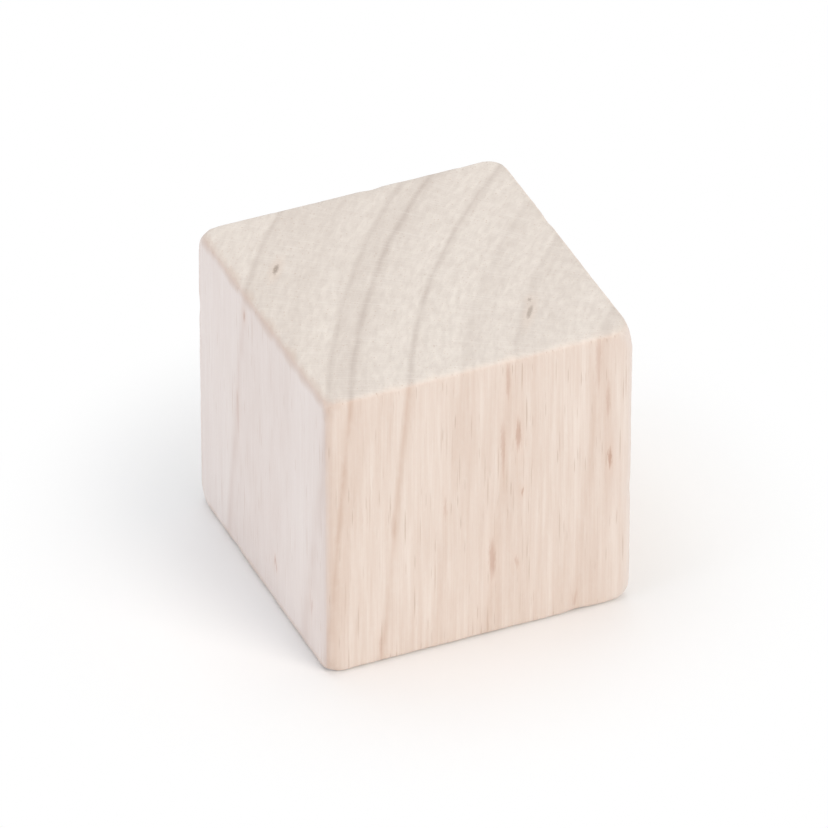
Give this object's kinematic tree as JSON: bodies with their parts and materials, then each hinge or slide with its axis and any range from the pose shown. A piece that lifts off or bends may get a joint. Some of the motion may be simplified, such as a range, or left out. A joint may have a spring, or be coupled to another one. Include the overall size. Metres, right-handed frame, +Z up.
{
  "type": "wooden cube",
  "caption": "Solid hardwood cube with sanded faces, eased edges and softly worn corners, for stacking, counting or spacing on a bench or desk.",
  "frame": {"origin": "middle of the bottom face, which the cube stands on", "axes": "+Z up along the wood's grain, from the bottom end-grain face to the top one; +X and +Y square to the side faces"},
  "size_m": [0.03, 0.03, 0.03],
  "materials": {
    "hardwood": "bare pale hardwood, finely sanded, no lacquer, grain along Z and end grain on the top and bottom"
  },
  "bodies": {
    "root": {"wooden_cube": "hardwood"}
  },
  "joints": []
}
